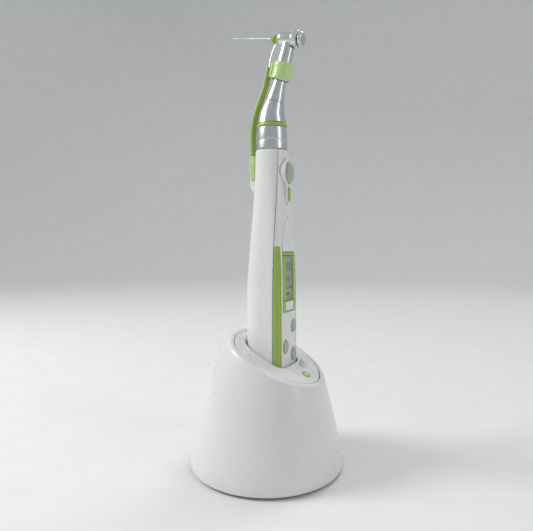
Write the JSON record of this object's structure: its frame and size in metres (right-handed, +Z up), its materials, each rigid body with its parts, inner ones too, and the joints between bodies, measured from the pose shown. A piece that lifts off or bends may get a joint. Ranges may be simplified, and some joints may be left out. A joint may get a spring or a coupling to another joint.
{
  "type": "endodontic motor",
  "caption": "Cordless endodontic handpiece with contra-angle and file, standing in a domed charging dock with a sloping top.",
  "frame": {"origin": "centre of the dock's footprint, on the surface it stands on", "axes": "+Z up; +X towards the display side of the handpiece, -X the way the file points"},
  "size_m": [0.073, 0.073, 0.2093],
  "materials": {
    "white_shell": "moulded white ABS, satin gloss",
    "green_accent": "lime green plastic, satin gloss",
    "key_grey": "pale grey silicone-coated keys",
    "pale_green": "translucent pale green plastic",
    "satin_steel": "fine satin stainless steel",
    "dark_plastic": "matt dark grey plastic",
    "screen_window": "clear window over the screen",
    "foot_rubber": "matt grey rubber",
    "contact_brass": "polished gilt brass",
    "circuit_board": "green solder mask",
    "battery_wrap": "shrink wrap",
    "stopper_silicone": "green silicone"
  },
  "bodies": {
    "dock": {"dock_shell": "white_shell", "dock_top_plate": "white_shell", "dock_indicator_lens": "pale_green", "dock_well_liner": "dark_plastic", "dock_base_plate": "dark_plastic", "dock_foot_1": "foot_rubber", "dock_foot_2": "foot_rubber", "dock_foot_3": "foot_rubber", "dock_foot_4": "foot_rubber", "dock_ballast_plate": "satin_steel", "charge_pin_holder": "dark_plastic", "dock_circuit_board": "circuit_board", "dock_power_inlet": "dark_plastic"},
    "pin_left": {"charge_pin_left": "contact_brass"},
    "pin_right": {"charge_pin_right": "contact_brass"},
    "handpiece": {"handle_rear_shell": "white_shell", "handle_front_cover": "white_shell", "accent_strip_left": "green_accent", "accent_strip_right": "green_accent", "handle_end_cap": "white_shell", "charge_contact_left": "contact_brass", "charge_contact_right": "contact_brass", "display_frame": "green_accent", "display_window": "screen_window", "display_module": "dark_plastic", "switch_surround": "white_shell", "status_light_strip": "green_accent", "electrode_socket": "pale_green", "control_board": "circuit_board", "battery_cell": "battery_wrap", "drive_motor": "satin_steel", "gearhead": "satin_steel", "nose_collar": "satin_steel"},
    "main_switch": {"main_switch_button": "key_grey"},
    "button_upper": {"control_button_upper": "key_grey"},
    "button_middle": {"control_button_middle": "key_grey"},
    "button_lower": {"control_button_lower": "key_grey"},
    "motor_shaft": {"output_shaft": "satin_steel"},
    "contra_angle": {"contra_sleeve": "satin_steel", "colour_ring": "green_accent", "contra_cone": "satin_steel", "neck_lower": "satin_steel", "head_housing": "satin_steel", "head_cap_ring": "satin_steel", "chuck_bearing_front": "satin_steel", "chuck_bearing_rear": "satin_steel", "electrode_plug": "pale_green", "electrode_strap": "green_accent", "electrode_clip": "pale_green", "electrode_finger": "satin_steel"},
    "rear_shaft": {"rear_drive_shaft": "satin_steel"},
    "neck_shaft": {"neck_drive_shaft": "satin_steel"},
    "chuck": {"chuck_with_crown_gear": "satin_steel"},
    "push_button": {"push_button_cap": "satin_steel"},
    "file": {"file_shank": "contact_brass", "file_blade": "satin_steel"},
    "stopper": {"file_stopper": "stopper_silicone"}
  },
  "joints": [
    {"name": "handpiece_lift", "type": "slide", "parent": "dock", "child": "handpiece", "axis": [0, 0, 1], "range_m": [0, 0.06]},
    {"name": "charge_pin_left_press", "type": "slide", "parent": "dock", "child": "pin_left", "axis": [0, 0, -1], "range_m": [0, 0.001], "stiffness_N_per_m": 300, "springref_m": -0.0005},
    {"name": "charge_pin_right_press", "type": "slide", "parent": "dock", "child": "pin_right", "axis": [0, 0, -1], "range_m": [0, 0.001], "stiffness_N_per_m": 300, "springref_m": -0.0005},
    {"name": "main_switch_press", "type": "slide", "parent": "handpiece", "child": "main_switch", "axis": [-1, 0, 0], "range_m": [0, 0.0007], "stiffness_N_per_m": 800, "springref_m": -0.0005},
    {"name": "button_upper_press", "type": "slide", "parent": "handpiece", "child": "button_upper", "axis": [-1, 0, 0], "range_m": [0, 0.0005], "stiffness_N_per_m": 800, "springref_m": -0.0005},
    {"name": "button_middle_press", "type": "slide", "parent": "handpiece", "child": "button_middle", "axis": [-1, 0, 0], "range_m": [0, 0.0005], "stiffness_N_per_m": 800, "springref_m": -0.0005},
    {"name": "button_lower_press", "type": "slide", "parent": "handpiece", "child": "button_lower", "axis": [-1, 0, 0], "range_m": [0, 0.0005], "stiffness_N_per_m": 800, "springref_m": -0.0005},
    {"name": "motor_spin", "type": "hinge", "parent": "handpiece", "child": "motor_shaft", "pos_m": [0.003, 0, 0.15], "axis": [0, 0, 1], "continuous": true},
    {"name": "contra_pull", "type": "slide", "parent": "handpiece", "child": "contra_angle", "axis": [0, 0, 1], "range_m": [0, 0.014]},
    {"name": "rear_shaft_spin", "type": "hinge", "parent": "contra_angle", "child": "rear_shaft", "pos_m": [0.003, 0, 0.162], "axis": [0, 0, 1], "continuous": true},
    {"name": "neck_shaft_spin", "type": "hinge", "parent": "contra_angle", "child": "neck_shaft", "pos_m": [0.003, 0, 0.168], "axis": [0.2672, 0, 0.9636], "continuous": true},
    {"name": "chuck_spin", "type": "hinge", "parent": "contra_angle", "child": "chuck", "pos_m": [0.01251, 0, 0.20231], "axis": [-0.9781, 0, 0.2079], "continuous": true},
    {"name": "push_button_press", "type": "slide", "parent": "contra_angle", "child": "push_button", "axis": [-0.9781, 0, 0.2079], "range_m": [0, 0.0004], "stiffness_N_per_m": 1500, "springref_m": -0.0005},
    {"name": "file_pull", "type": "slide", "parent": "chuck", "child": "file", "axis": [-0.9781, 0, 0.2079], "range_m": [0, 0.01]},
    {"name": "stopper_slide", "type": "slide", "parent": "file", "child": "stopper", "axis": [-0.9781, 0, 0.2079], "range_m": [0, 0.015]}
  ],
  "couplings": [
    {"joint": "rear_shaft_spin", "follows": "motor_spin", "ratio": 1},
    {"joint": "neck_shaft_spin", "follows": "motor_spin", "ratio": 1},
    {"joint": "chuck_spin", "follows": "motor_spin", "ratio": -0.5}
  ]
}
